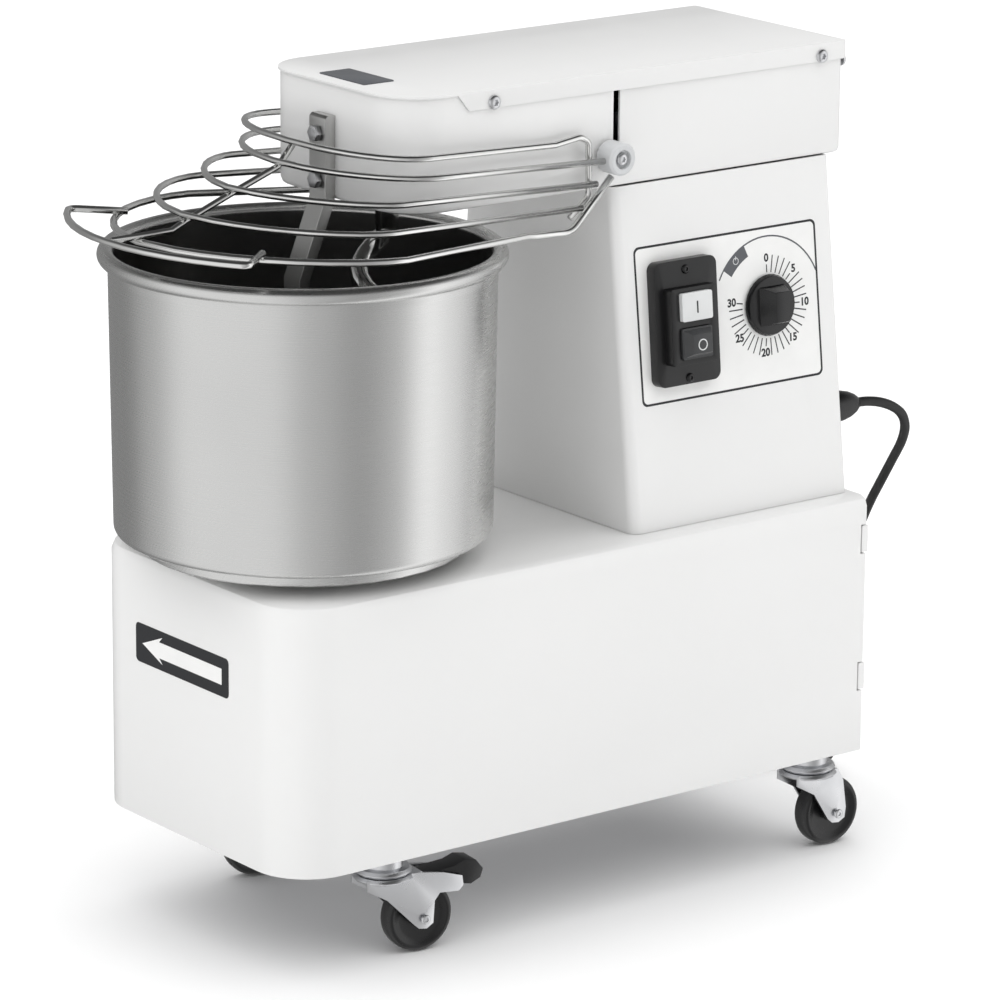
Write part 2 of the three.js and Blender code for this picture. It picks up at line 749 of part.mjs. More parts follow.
function switchHousing() {
  const { width, height, proud, corner, blockWidth, blockHeight, blockProud } = SWITCH;
  const frame = prism(centred(width, height, corner), GAP, proud, 4);
  const block = prism(centred(blockWidth, blockHeight, 2, BLOCK_Z), proud - 1, blockProud, 2);
  const inside = box(-20, 20, -34, 34, -26, GAP + 0.5);
  const wells = Object.values(BUTTONS).map((o) =>
    prism(centred(o.width + 2 * GAP, o.height + 2 * GAP, 1.5, o.z), 4, 40, 2),
  );
  return cut(join(frame, block, inside), ...wells).applyMatrix4(facing);
}

function startButton() {
  const { width, height, z, proud } = BUTTONS.start;
  return prism(centred(width, height, 1.5, z), 4 + BUTTON_TRAVEL + GAP, proud, 2).applyMatrix4(facing);
}

// The stop button stands out with slanted sides and a flat pad.
function stopButton() {
  const { width, height, z, proud } = BUTTONS.stop;
  const body = prism(centred(width, height, 1.5, z), 4 + BUTTON_TRAVEL + GAP, proud, 2);
  const pad = frustum([width - 2, height - 2], [16.3, 13.2], proud - 0.5, 24).translate(0, z, 0);
  return join(body, pad).applyMatrix4(facing);
}

// A block that narrows from one rectangle to another along Z.
function frustum(base, top, z0, z1) {
  const form = box(-0.5, 0.5, -0.5, 0.5, z0, z1);
  const place = form.attributes.position;
  for (let i = 0; i < place.count; i++) {
    const size = place.getZ(i) > (z0 + z1) / 2 ? top : base;
    place.setXY(i, place.getX(i) * size[0], place.getY(i) * size[1]);
  }
  return form;
}

function timerKnob() {
  const { skirt, skirtHeight, height, gripBase, gripTop } = KNOB;
  const profile = [[0, 1], [skirt - 0.6, 1], [skirt, 1.8], [skirt - 1.5, skirtHeight], [0, skirtHeight]];
  const grip = frustum(gripBase, gripTop, skirtHeight - 1, height);
  return join(turned(profile, 28), grip, rod(3.5, -8, 2, 16)).applyMatrix4(facing);
}

function timerBody() {
  return cut(rod(24, -38, -SHEET - GAP), rod(3.8, -9, 5, 16)).applyMatrix4(facing);
}

// ---------------------------------------------------------------- casters

// Each caster stands in its own turned group: its fork trails towards +Y of that group.
const CASTERS = [
  { name: "front_right", x: CASTER.x, y: CASTER.frontY, turn: -7.6, brake: true },
  { name: "front_left", x: -CASTER.x, y: CASTER.frontY, turn: -12, brake: true },
  { name: "rear_right", x: CASTER.x, y: CASTER.rearY, turn: -1.5, brake: false },
  { name: "rear_left", x: -CASTER.x, y: CASTER.rearY, turn: 6, brake: false },
];
const trailOf = (brake) => (brake ? 25.3 : 18);

function casterStem() {
  const race = [[0, 59.3], [18, 59.3], [20, 61.5], [18, 64], [14, 64.6]];
  const profile = [...race, [14, CASTER.top], [0, CASTER.top]];
  return turned(profile, 16);
}

// Half of the fork's outline seen from the side, then the arm of a braked fork or the back of a plain one.
function cheekOutline(brake) {
  const axle = trailOf(brake);
  const leading = [[-18, 58.6], [-18, 51], [-3, 42.5], [axle - 8, 22], [axle - 4, 18.5], [axle + 2, 17.7]];
  const shin = [[axle + 7, 21], [axle + 8, 36.5], [axle + 12, 41.5]];
  const arm = [...shin, [52, 40.5], [55.5, 44], [54.5, 51], [40, 55.5]];
  const plain = [[axle + 7.5, 20.5], [axle + 8.5, 28], [axle + 5.5, 49], [axle, 58.6]];
  return [...leading, ...(brake ? [...arm, [20, 58.6]] : plain)];
}

function casterFork(brake) {
  const axle = trailOf(brake);
  const sheet = 2;
  const plate = (x) => prism(polygon(cheekOutline(brake)), x, x + sheet);
  const cheek = (x) => plate(x).rotateX(Math.PI / 2).rotateZ(Math.PI / 2);
  const crown = turned([[0, 55.6], [20, 55.6], [21, 57], [19.5, 59], [0, 59]], 16);
  const bridge = box(-CASTER.cheek - 1, CASTER.cheek + 1, -12, brake ? 24 : axle - 1, 55.6, 58.6);
  const pin = rodX(2.4, -CASTER.cheek - 4.5, CASTER.cheek + 4.5, 10).translate(0, axle, CASTER.wheel);
  return join(crown, bridge, cheek(CASTER.cheek), cheek(-CASTER.cheek - sheet), pin);
}

function casterWheel(brake) {
  const r = CASTER.wheel;
  const half = CASTER.tread / 2;
  const hub = (x) => [[2.7, x(0)], [6, x(0)], [7, x(1.5)]];
  const side = (x) => [...hub(x), [r - 6, x(1.5)], [r - 3.5, x(0)], [r - 0.9, x(2)]];
  const left = side((inset) => -half + inset);
  const right = side((inset) => half - inset).reverse();
  const wheel = turned([...left, [r, 0], ...right, left[0]], 20);
  return wheel.rotateY(Math.PI / 2).translate(0, trailOf(brake), r);
}

// The brake pedal pivots between the cheeks above the wheel, and its pad stands out behind them.
function brakeLever() {
  const side = polygon([
    [27, 52],
    [50, 51.5],
    [58, 43.5],
    [63, 42.5],
    [70.5, 46],
    [72.5, 52],
    [67, 59],
    [58, 60.5],
    [50, 57.5],
    [27, 55.5],
  ]);
  const half = CASTER.cheek - GAP - 1;
  return prism(side, -half, half).rotateX(Math.PI / 2).rotateZ(Math.PI / 2);
}

// ---------------------------------------------------------------- mains lead

// The lead hangs from the gland behind the column and runs over the floor to its coil.
const CORD_ROUTE = [
  [78, 299.6, 316.5],
  [78, 309, 315.9],
  [78, 321, 313.5],
  [77.5, 334, 308.3],
  [75.5, 345, 300.5],
  [71, 352.5, 289.5],
  [64, 356, 276.5],
  [55, 356, 261.5],
  [46, 353.5, 243.5],
  [37.5, 350, 224.5],
  [30, 346.5, 202.5],
  [23.5, 344, 178.5],
  [18, 342.5, 152.5],
  [13, 342.5, 124.5],
  [8, 344.5, 96.5],
  [2, 349, 69.5],
  [-6, 357, 42],
  [-17, 367, 22],
  [-31, 377, 9],
  [-46, 384, 4.4],
  [-62, 386, 3.7],
  [-80, 386, 3.6],
].map(([x, y, z]) => vec(x, y, z));

function powerCord() {
  const curve = new THREE.CatmullRomCurve3(CORD_ROUTE, false, "centripetal");
  return tube(curve.getSpacedPoints(34), CORD.diameter / 2, 8);
}

function cordCoil() {
  const { diameter, coilRadius } = CORD;
  const [inner, outer] = [coilRadius - diameter, coilRadius + diameter];
  const top = 3 * diameter;
  const profile = [
    [inner, 1.5],
    [inner + 1.5, 0],
    [outer - 1.5, 0],
    [outer, 1.5],
    [outer, top - 1.5],
    [outer - 1.5, top],
    [inner + 1.5, top],
    [inner, top - 1.5],
  ];
  return turned([...profile, profile[0]], 32).translate(CORD.coilX, CORD.coilY, 0.1);
}

function cableGland() {
  const r = GLAND.radius;
  const tip = GLAND.length;
  const nut = [[0, 0], [r, 0], [r, 9], [r - 0.6, 15]];
  const profile = [...nut, [r - 2.2, 22], [r - 4.6, 27.4], [r - 7, tip], [0, tip]];
  return turned(profile, 24).rotateX(-Math.PI / 2).translate(GLAND.x, 268.6, GLAND.z);
}

// A two-pin mains plug with a tapered strain relief, lying on the floor along -X.
function powerPlug() {
  const profile = [[0, 0], [4, 0], [6.5, 26], [12, 29], [17.5, 36], [17.8, 60], [16.8, 66], [0, 66]];
  const pins = [-9.5, 9.5].map((y) => rod(2.4, 65, 85, 10).translate(0, y, 0));
  const plug = join(turned(profile, 20), ...pins).rotateY(-Math.PI / 2);
  return plug.translate(CORD.coilX - 26, CORD.coilY + CORD.coilRadius + 3.5, 18);
}

// ---------------------------------------------------------------- assembly

add("base_housing", baseHousing(), paint);
add("base_floor_plate", floorPlate(), zinc);
add("rear_panel", rearPanel(), paint);
add("rear_panel_screw_right", rearPanelScrew(1), zinc);
add("rear_panel_screw_left", rearPanelScrew(-1), zinc);
add("column_housing", columnHousing(), paint);
add("head_housing", headHousing(), paint);
add("head_cover", headCover(), paint);

add("bowl", bowl(), steel);
add("bowl_turntable", turntable(), steel);
add("bowl_bearing", bowlBearing(), castIron);
const bowlSprocket = sprocket(TEETH.bowl, CHAIN.lowerLevel, TURNTABLE.shaft + GAP, 24);
add("bowl_sprocket", bowlSprocket.translate(0, BOWL.y, 0), chainSteel);
add("lower_chain", chain(BOWL.y, TEETH.bowl, MAIN_SHAFT.y, TEETH.lowerDrive, CHAIN.lowerLevel), chainSteel);
const lowerDrive = sprocket(TEETH.lowerDrive, CHAIN.lowerLevel, MAIN_SHAFT.radius + GAP, 14);
add("lower_drive_sprocket", lowerDrive.translate(0, MAIN_SHAFT.y, 0), chainSteel);
add("main_shaft", mainShaft(), steel);
add("gearbox", gearbox(), castIron);
add("motor", motor(), motorPaint);
const upperDrive = sprocket(TEETH.upperDrive, CHAIN.upperLevel, MAIN_SHAFT.radius + GAP, 16);
add("upper_drive_sprocket", upperDrive.translate(0, MAIN_SHAFT.y, 0), chainSteel);
const upperChain = chain(SPIRAL.y, TEETH.spiral, MAIN_SHAFT.y, TEETH.upperDrive, CHAIN.upperLevel);
add("upper_chain", upperChain, chainSteel);
const spiralSprocket = sprocket(TEETH.spiral, CHAIN.upperLevel, SPIRAL.shaft + GAP, 14);
add("spiral_sprocket", spiralSprocket.translate(0, SPIRAL.y, 0), chainSteel);
add("spiral_bearing", shaftBearing(SPIRAL.y, SPIRAL.shaft + GAP, HEAD.bottom + SHEET + GAP), castIron);
add("spiral_hook", spiralHook(), chrome);
add("breaker_bar", breakerBar(), steel);
add("breaker_bolt_upper", breakerBolt(545.5), zinc);
add("breaker_bolt_lower", breakerBolt(514), zinc);

for (const name of Object.keys(RINGS)) add(name, ring(name), chrome);
add("guard_handle", guardHandle(), chrome);
add("guard_rib", guardRib(), chrome);
add("guard_bush_right", guardBush(1), whitePlastic);
add("guard_bush_left", guardBush(-1), whitePlastic);
add("guard_shaft", guardShaft(), steel);
add("guard_switch", guardSwitch(), blackPlastic);

add("switch_housing", switchHousing(), blackPlastic, switchGroup);
add("start_button", startButton(), greyPlastic, switchGroup);
add("stop_button", stopButton(), blackPlastic, switchGroup);
add("timer_knob", timerKnob(), blackPlastic, knobGroup);
add("timer_body", timerBody(), blackPlastic, knobGroup);

for (const { name, x, y, turn, brake } of CASTERS) {
  const group = new THREE.Group();
  group.position.set(x, y, 0);
  group.rotation.z = (turn * Math.PI) / 180;
  mixer.add(group);
  add(`caster_stem_${name}`, casterStem(), zinc, group);
  add(`caster_fork_${name}`, casterFork(brake), zinc, group);
  add(`caster_wheel_${name}`, casterWheel(brake), rubber, group);
  if (brake) add(`brake_lever_${name}`, brakeLever(), blackPlastic, group);
}

add("cable_gland", cableGland(), blackPlastic);
add("power_cord", powerCord(), rubber);
add("cord_coil", cordCoil(), rubber);
add("power_plug", powerPlug(), blackPlastic);

export default mixer;
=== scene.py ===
# Spiral dough mixer: the looks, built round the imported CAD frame. Metres, +Z up, the bowl at -Y.
import json
import math

import bmesh
import bpy
from mathutils import Matrix, Vector

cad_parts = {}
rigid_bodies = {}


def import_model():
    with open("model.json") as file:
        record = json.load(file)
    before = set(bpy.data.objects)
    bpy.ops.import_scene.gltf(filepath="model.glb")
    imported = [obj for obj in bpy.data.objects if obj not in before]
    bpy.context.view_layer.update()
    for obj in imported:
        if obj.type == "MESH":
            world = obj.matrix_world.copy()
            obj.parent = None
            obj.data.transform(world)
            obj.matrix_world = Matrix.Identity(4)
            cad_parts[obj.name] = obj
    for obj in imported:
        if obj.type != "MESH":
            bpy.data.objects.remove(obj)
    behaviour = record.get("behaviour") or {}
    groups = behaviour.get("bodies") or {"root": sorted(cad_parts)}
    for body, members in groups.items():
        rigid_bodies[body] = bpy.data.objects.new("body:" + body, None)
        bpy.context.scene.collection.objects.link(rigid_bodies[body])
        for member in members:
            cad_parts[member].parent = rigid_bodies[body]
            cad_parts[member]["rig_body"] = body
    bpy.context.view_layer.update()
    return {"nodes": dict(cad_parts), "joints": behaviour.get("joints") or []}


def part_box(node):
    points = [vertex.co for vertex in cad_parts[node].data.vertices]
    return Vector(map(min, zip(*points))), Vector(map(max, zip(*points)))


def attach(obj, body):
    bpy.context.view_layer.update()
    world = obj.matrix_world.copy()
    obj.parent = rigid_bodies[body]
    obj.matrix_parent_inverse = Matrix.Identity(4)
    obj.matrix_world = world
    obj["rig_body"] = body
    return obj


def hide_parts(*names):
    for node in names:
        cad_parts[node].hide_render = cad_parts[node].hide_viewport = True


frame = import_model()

MM = 0.001

# ---------------------------------------------------------------- camera

# Angles in degrees, place in metres, lens in millimetres.
CAMERA = {
    "azimuth": 52.393, "elevation": 15.492, "roll": 0.492, "place": (2.8021, -2.1166, 1.2493), "lens": 190.74,
}


def make_camera():
    azimuth, elevation, roll = (math.radians(CAMERA[key]) for key in ("azimuth", "elevation", "roll"))
    level = Vector((math.cos(azimuth), math.sin(azimuth), 0))
    ahead = Vector((-math.sin(azimuth) * math.cos(elevation), math.cos(azimuth) * math.cos(elevation),
                    -math.sin(elevation)))
    upright = level.cross(ahead)
    right = math.cos(roll) * level + math.sin(roll) * upright
    up = -math.sin(roll) * level + math.cos(roll) * upright
    data = bpy.data.cameras.new("camera")
    data.sensor_width = 36
    data.lens = CAMERA["lens"]
    data.clip_end = 50
    camera = bpy.data.objects.new("camera", data)
    turned = Matrix((right, up, -ahead)).transposed().to_4x4()
    camera.matrix_world = Matrix.Translation(CAMERA["place"]) @ turned
    bpy.context.scene.collection.objects.link(camera)
    bpy.context.scene.camera = camera


make_camera()

# ---------------------------------------------------------------- materials


class Nodes:
    """The node tree of one procedural material, with a Principled shader at its end."""

    def __init__(self, name, color, roughness, metallic=0.0, **sockets):
        self.material = bpy.data.materials.new(name)
        self.material.use_nodes = True
        self.tree = self.material.node_tree
        self.shader = self.tree.nodes["Principled BSDF"]
        self.shader.inputs["Base Color"].default_value = (*color, 1)
        self.shader.inputs["Roughness"].default_value = roughness
        self.shader.inputs["Metallic"].default_value = metallic
        for socket, value in sockets.items():
            self.shader.inputs[socket.replace("_", " ")].default_value = value
        self.place = self.add("ShaderNodeTexCoord").outputs["Object"]

    def add(self, kind, **inputs):
        node = self.tree.nodes.new(kind)
        for name, value in inputs.items():
            self.give(node.inputs[name.replace("_", " ")], value)
        return node

    def give(self, socket, value):
        if isinstance(value, bpy.types.NodeSocket):
            self.tree.links.new(value, socket)
        else:
            socket.default_value = value

    def noise(self, scale, detail=3.0, stretch=(1, 1, 1)):
        mapping = self.add("ShaderNodeMapping", Vector=self.place, Scale=stretch)
        texture = self.add("ShaderNodeTexNoise", Vector=mapping.outputs[0], Scale=scale, Detail=detail)
        return texture.outputs["Fac"]

    def spread(self, value, low, high):
        return self.add("ShaderNodeMapRange", Value=value, To_Min=low, To_Max=high).outputs[0]

    def rough(self, value, low, high):
        self.give(self.shader.inputs["Roughness"], self.spread(value, low, high))

    def tint(self, value, low, high):
        mix = self.tree.nodes.new("ShaderNodeMix")
        mix.data_type = "RGBA"
        self.give(mix.inputs[0], value)
        self.give(mix.inputs[6], (*low, 1))
        self.give(mix.inputs[7], (*high, 1))
        self.give(self.shader.inputs["Base Color"], mix.outputs[2])

    def bump(self, value, strength, distance):
        node = self.add("ShaderNodeBump", Height=value, Strength=strength, Distance=distance)
        self.give(self.shader.inputs["Normal"], node.outputs[0])


def powder_paint():
    m = Nodes("powder_paint", (0.8, 0.8, 0.795), 0.3, Coat_Weight=0.3, Coat_Roughness=0.1)
    m.rough(m.noise(35), 0.26, 0.36)
    m.tint(m.noise(6), (0.785, 0.785, 0.78), (0.815, 0.815, 0.81))
    m.bump(m.noise(420, 2), 0.12, 0.0002)
    return m.material


def satin_steel():
    """Finely ground sheet: the grain runs round the bowl."""
    m = Nodes("satin_steel", (0.7, 0.7, 0.69), 0.27, 1)
    grain = m.noise(60, 4, (1, 1, 28))
    m.rough(grain, 0.22, 0.34)
    m.tint(m.noise(9), (0.66, 0.66, 0.655), (0.74, 0.74, 0.73))
    m.bump(grain, 0.08, 0.0001)
    return m.material


def inner_steel():
    """The same sheet inside the bowl, with a darker colour as painted shade: a shaded copy of the bowl's
    steel.
    """
    m = Nodes("inner_steel", (0.42, 0.42, 0.415), 0.3, 1)
    grain = m.noise(60, 4, (1, 1, 28))
    m.rough(grain, 0.24, 0.38)
    m.tint(m.noise(9), (0.38, 0.38, 0.375), (0.46, 0.46, 0.455))
    m.bump(grain, 0.08, 0.0001)
    return m.material


def bar_steel():
    m = Nodes("bar_steel", (0.55, 0.55, 0.54), 0.32, 1)
    grain = m.noise(70, 3, (22, 1, 1))
    m.rough(grain, 0.26, 0.42)
    m.tint(m.noise(14), (0.5, 0.5, 0.49), (0.62, 0.62, 0.61))
    m.bump(grain, 0.1, 0.0001)
    return m.material


def polished_steel():
    m = Nodes("polished_steel", (0.78, 0.78, 0.77), 0.12, 1)
    m.rough(m.noise(120), 0.08, 0.17)
    m.tint(m.noise(25), (0.74, 0.74, 0.73), (0.82, 0.82, 0.81))
    m.bump(m.noise(500, 2), 0.05, 0.0001)
    return m.material


def zinc_steel():
    m = Nodes("zinc_steel", (0.7, 0.7, 0.71), 0.3, 1)
    m.rough(m.noise(80), 0.2, 0.38)
    m.tint(m.noise(30, 4), (0.64, 0.65, 0.67), (0.78, 0.78, 0.79))
    m.bump(m.noise(380, 2), 0.1, 0.0002)
    return m.material


def grained_plastic(name, color, roughness, grain=0.18):
    m = Nodes(name, color, roughness)
    m.rough(m.noise(160), roughness - 0.06, roughness + 0.08)
    dark = tuple(0.88 * c for c in color)
    light = tuple(min(1, 1.1 * c + 0.001) for c in color)
    m.tint(m.noise(22), dark, light)
    m.bump(m.noise(900, 2), grain, 0.0002)
    return m.material


def cast_iron():
    m = Nodes("cast_iron", (0.09, 0.095, 0.1), 0.6, 0.6)
    m.rough(m.noise(60), 0.5, 0.75)
    m.tint(m.noise(18, 5), (0.06, 0.065, 0.07), (0.14, 0.14, 0.145))
    m.bump(m.noise(260, 5), 0.35, 0.0006)
    return m.material


def oiled_steel():
    m = Nodes("oiled_steel", (0.16, 0.15, 0.14), 0.38, 1)
    m.rough(m.noise(90), 0.28, 0.5)
    m.tint(m.noise(40), (0.11, 0.105, 0.1), (0.22, 0.21, 0.2))
    m.bump(m.noise(420, 2), 0.1, 0.0002)
    return m.material


def motor_enamel():
    m = Nodes("motor_enamel", (0.12, 0.15, 0.17), 0.42)
    m.rough(m.noise(70), 0.34, 0.52)
    m.tint(m.noise(16), (0.1, 0.13, 0.15), (0.15, 0.18, 0.2))
    m.bump(m.noise(340, 3), 0.2, 0.0003)
    return m.material


def printed(name, color, roughness=0.3):
    """Ink or foil on a label."""
    m = Nodes(name, color, roughness)
    m.rough(m.noise(200), roughness - 0.05, roughness + 0.07)
    m.tint(m.noise(50), tuple(0.94 * c for c in color), tuple(min(1, 1.05 * c) for c in color))
    m.bump(m.noise(800, 2), 0.05, 0.0001)
    return m.material


PAINT = powder_paint()
STEEL = satin_steel()
BAR = bar_steel()
INNER_SHADE = inner_steel()
CHROME = polished_steel()
ZINC = zinc_steel()
BLACK = grained_plastic("black_plastic", (0.006, 0.006, 0.0065), 0.3, 0.1)
GLOSS_BLACK = grained_plastic("gloss_black_plastic", (0.005, 0.005, 0.0055), 0.2, 0.05)
TYRE = grained_plastic("wheel_nylon", (0.006, 0.006, 0.0065), 0.28, 0.08)
RUBBER = grained_plastic("black_rubber", (0.009, 0.009, 0.009), 0.45, 0.2)
BUSH = grained_plastic("pale_nylon", (0.62, 0.63, 0.64), 0.42, 0.1)
KEY_GREY = grained_plastic("key_grey", (0.68, 0.69, 0.69), 0.36, 0.08)
KEY_DARK = grained_plastic("key_dark", (0.035, 0.036, 0.038), 0.3, 0.08)
IRON = cast_iron()
OILED = oiled_steel()
ENAMEL = motor_enamel()
INK = printed("dark_ink", (0.014, 0.015, 0.018), 0.42)
INK_GREY = printed("grey_ink", (0.09, 0.095, 0.105))
FOIL = printed("label_white", (0.86, 0.86, 0.85))

# ---------------------------------------------------------------- making pieces


def piece(name, mesh, material, body, angle=35):
    """A finished object that rides on a body."""
    made = bpy.data.objects.new(name, mesh)
    bpy.context.scene.collection.objects.link(made)
    mesh.materials.clear()
    mesh.materials.append(material)
    mesh.shade_smooth()
    mesh.set_sharp_from_angle(angle=math.radians(angle))
    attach(made, body)
    return made


def mesh_from(name, build):
    bm = bmesh.new()
    build(bm)
    bmesh.ops.recalc_face_normals(bm, faces=bm.faces)
    mesh = bpy.data.meshes.new(name)
    bm.to_mesh(mesh)
    bm.free()
    return mesh


def refined(node, material, round_by=0.0, angle=35):
    """A finished copy of a CAD node in its own place: smooth where it is round, with softened edges."""
    source = frame["nodes"][node]
    bm = bmesh.new()
    bm.from_mesh(source.data)
    bmesh.ops.remove_doubles(bm, verts=bm.verts, dist=2e-6)
    bmesh.ops.dissolve_limit(bm, angle_limit=math.radians(0.4), verts=bm.verts, edges=bm.edges)
    bmesh.ops.triangulate(bm, faces=[f for f in bm.faces if len(f.verts) > 4])
    if round_by:
        limit = math.radians(angle)
        sharp = [e for e in bm.edges if len(e.link_faces) == 2 and e.calc_face_angle(0) > limit]
        bmesh.ops.bevel(bm, geom=sharp, offset=round_by, segments=2, profile=0.6, affect="EDGES",
                        clamp_overlap=True)
    mesh = bpy.data.meshes.new(node + "_finish")
    bm.to_mesh(mesh)
    bm.free()
    body = source["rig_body"]
    made = piece(node + "_finish", mesh, material, body, angle)
    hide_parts(node)
    return made


def lathe(name, profile, centre, material, body, segments=96, angle=35):
    """A surface turned about a vertical line through centre. Profile points are (radius, height)."""

    def build(bm):
        rings = []
        for radius, height in profile:
            if radius < 1e-7:
                rings.append([bm.verts.new((centre[0], centre[1], height))])
                continue
            turn = 2 * math.pi / segments
            rings.append([bm.verts.new((centre[0] + radius * math.cos(i * turn),
                                        centre[1] + radius * math.sin(i * turn), height))
                          for i in range(segments)])
        for lower, upper in zip(rings, rings[1:]):
            for i in range(segments):
                corners = [lower[i % len(lower)], lower[(i + 1) % len(lower)],
                           upper[(i + 1) % len(upper)], upper[i % len(upper)]]
                corners = [c for k, c in enumerate(corners) if c not in corners[:k]]
                bm.faces.new(corners)

    return piece(name, mesh_from(name, build), material, body, angle)


def slab(name, outline, thickness, place, material, body, bevel=0.0):
    """A flat plate: outline points (u, v) stand on the plane of place and reach its thickness outwards."""

    def build(bm):
        low = [bm.verts.new(place @ Vector((u, v, 0))) for u, v in outline]
        high = [bm.verts.new(place @ Vector((u, v, thickness))) for u, v in outline]
        bm.faces.new(low)
        top = bm.faces.new(high)
        for i in range(len(outline)):
            j = (i + 1) % len(outline)
            bm.faces.new((low[i], low[j], high[j], high[i]))
        if bevel:
            bmesh.ops.bevel(bm, geom=list(top.edges), offset=bevel, segments=2, profile=0.5, affect="EDGES")

    return piece(name, mesh_from(name, build), material, body)


def band(name, outer, inner, thickness, place, material, body):
    """A flat closed strip between two outlines with the same number of points."""

    def build(bm):
        loops = [[bm.verts.new(place @ Vector((u, v, w))) for u, v in line]
                 for line, w in ((outer, 0), (outer, thickness), (inner, thickness), (inner, 0))]
        for near, far in zip(loops, loops[1:] + loops[:1]):
            for i in range(len(outer)):
                j = (i + 1) % len(outer)
                bm.faces.new((near[i], near[j], far[j], far[i]))

    return piece(name, mesh_from(name, build), material, body)


def rounded(u0, u1, v0, v1, radius, steps=6, lean=0.0):
    """A rectangle with round corners. lean shifts its lower edge along u."""
    points = []
    for centre_u, centre_v, start in ((u1 - radius, v1 - radius, 0), (u0 + radius, v1 - radius, 90),
                                      (u0 + radius, v0 + radius, 180), (u1 - radius, v0 + radius, 270)):
        for i in range(steps + 1):
            angle = math.radians(start + 90 * i / steps)
            u = centre_u + radius * math.cos(angle)
            v = centre_v + radius * math.sin(angle)
            points.append((u + lean * (v1 - v) / (v1 - v0), v))
    return points


def circle(radius, u=0.0, v=0.0, steps=48):
    turn = 2 * math.pi / steps
    return [(u + radius * math.cos(i * turn), v + radius * math.sin(i * turn)) for i in range(steps)]


def facing(origin, u_axis, v_axis):
    """The matrix that takes (u, v, out) to the row frame."""
    u, v = Vector(u_axis).normalized(), Vector(v_axis).normalized()
    return Matrix.Translation(origin) @ Matrix((u, v, u.cross(v))).transposed().to_4x4()


# ---------------------------------------------------------------- power cord

# Radius of the lead and centre of its coil in metres; each turn's radius and height in millimetres.
CORD = {
    "radius": 0.0035, "centre": (-0.106, 0.344),
    "lays": ((42, 3.6), (35, 3.6), (35, 10.6), (42, 10.6), (35, 17.6), (42, 17.6)),
}
# From the gland down to the start of the coil, in millimetres.
CORD_ROUTE = [
    (78, 299.6, 316.5), (78, 309, 315.9), (78, 321, 313.5), (77.5, 334, 308.3), (75.5, 345, 300.5),
    (71, 352.5, 289.5), (64, 356, 276.5), (55, 356, 261.5), (46, 353.5, 243.5), (37.5, 350, 224.5),
    (30, 346.5, 202.5), (23.5, 344, 178.5), (18, 342.5, 152.5), (13, 342.5, 124.5), (8, 344.5, 96.5),
    (2, 349, 69.5), (-6, 357, 42), (-17, 367, 22), (-31, 377, 9), (-46, 384, 4.4), (-62, 386, 3.7),
    (-80, 386, 3.6),
]


def coil_points():
    """Six turns, wound in pairs, each easing over to the next lay in its last eighth."""
    points = []
    steps = 48
    ease = 6
    lays = CORD["lays"]
    across, along = CORD["centre"]
    for turn, (radius, height) in enumerate(lays):
        after = lays[min(turn + 1, len(lays) - 1)]
        for i in range(steps):
            share = max(0, i - steps + ease) / ease
            share = share * share * (3 - 2 * share)
            r = (radius + share * (after[0] - radius)) * MM
            z = (height + share * (after[1] - height)) * MM
            angle = math.pi / 2 + 2 * math.pi * i / steps
            points.append((across + r * math.cos(angle), along + r * math.sin(angle), z))
    points.append((across, along + lays[-1][0] * MM, lays[-1][1] * MM))
    return points


def smooth_line(points, per_span=4):
    """Points along a centripetal Catmull-Rom curve through these."""
    p = [Vector(q) for q in points]
    p = [2 * p[0] - p[1], *p, 2 * p[-1] - p[-2]]
    line = []
    for a, b, c, d in zip(p, p[1:], p[2:], p[3:]):
        t = [0.0]
        for q, r in ((a, b), (b, c), (c, d)):
            t.append(t[-1] + math.sqrt((r - q).length))
        for i in range(per_span):
            s = t[1] + (t[2] - t[1]) * i / per_span
            ab = a.lerp(b, (s - t[0]) / (t[1] - t[0]))
            bc = b.lerp(c, (s - t[1]) / (t[2] - t[1]))
            cd = c.lerp(d, (s - t[2]) / (t[3] - t[2]))
            low = ab.lerp(bc, (s - t[0]) / (t[2] - t[0]))
            high = bc.lerp(cd, (s - t[1]) / (t[3] - t[1]))
            line.append(low.lerp(high, (s - t[1]) / (t[2] - t[1])))
    line.append(p[-2])
    return line


def make_cord():
    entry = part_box("power_plug")[1]
    route = smooth_line([tuple(v * MM for v in point) for point in CORD_ROUTE])
    coil = [Vector(q) for q in coil_points()]
    tail = [Vector((entry.x + 0.013, coil[-1].y, coil[-1].z)), Vector((entry.x, coil[-1].y, coil[-1].z))]
    line = [*route, *coil, *tail]
    curve = bpy.data.curves.new("power_lead", "CURVE")
    curve.dimensions = "3D"
    curve.bevel_depth = CORD["radius"]
    curve.bevel_resolution = 4
    curve.use_fill_caps = True
    spline = curve.splines.new("POLY")
    spline.points.add(len(line) - 1)
    for point, place in zip(spline.points, line):
        point.co = (*place, 1)
    spline.use_smooth = True
    curve.materials.append(RUBBER)
    cord = bpy.data.objects.new("power_lead", curve)
    bpy.context.scene.collection.objects.link(cord)
    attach(cord, "frame")
    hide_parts("power_cord", "cord_coil")
    plug = refined("power_plug", BLACK, 0.0008)
    gland = refined("cable_gland", GLOSS_BLACK, 0.0004)


make_cord()

# ---------------------------------------------------------------- housings and structure

for node in ("base_housing", "rear_panel", "column_housing", "head_housing", "head_cover"):
    refined(node, PAINT, 0.0004, 30)
for node in ("rear_panel_screw_right", "rear_panel_screw_left", "base_floor_plate"):
    refined(node, ZINC, 0.0003)

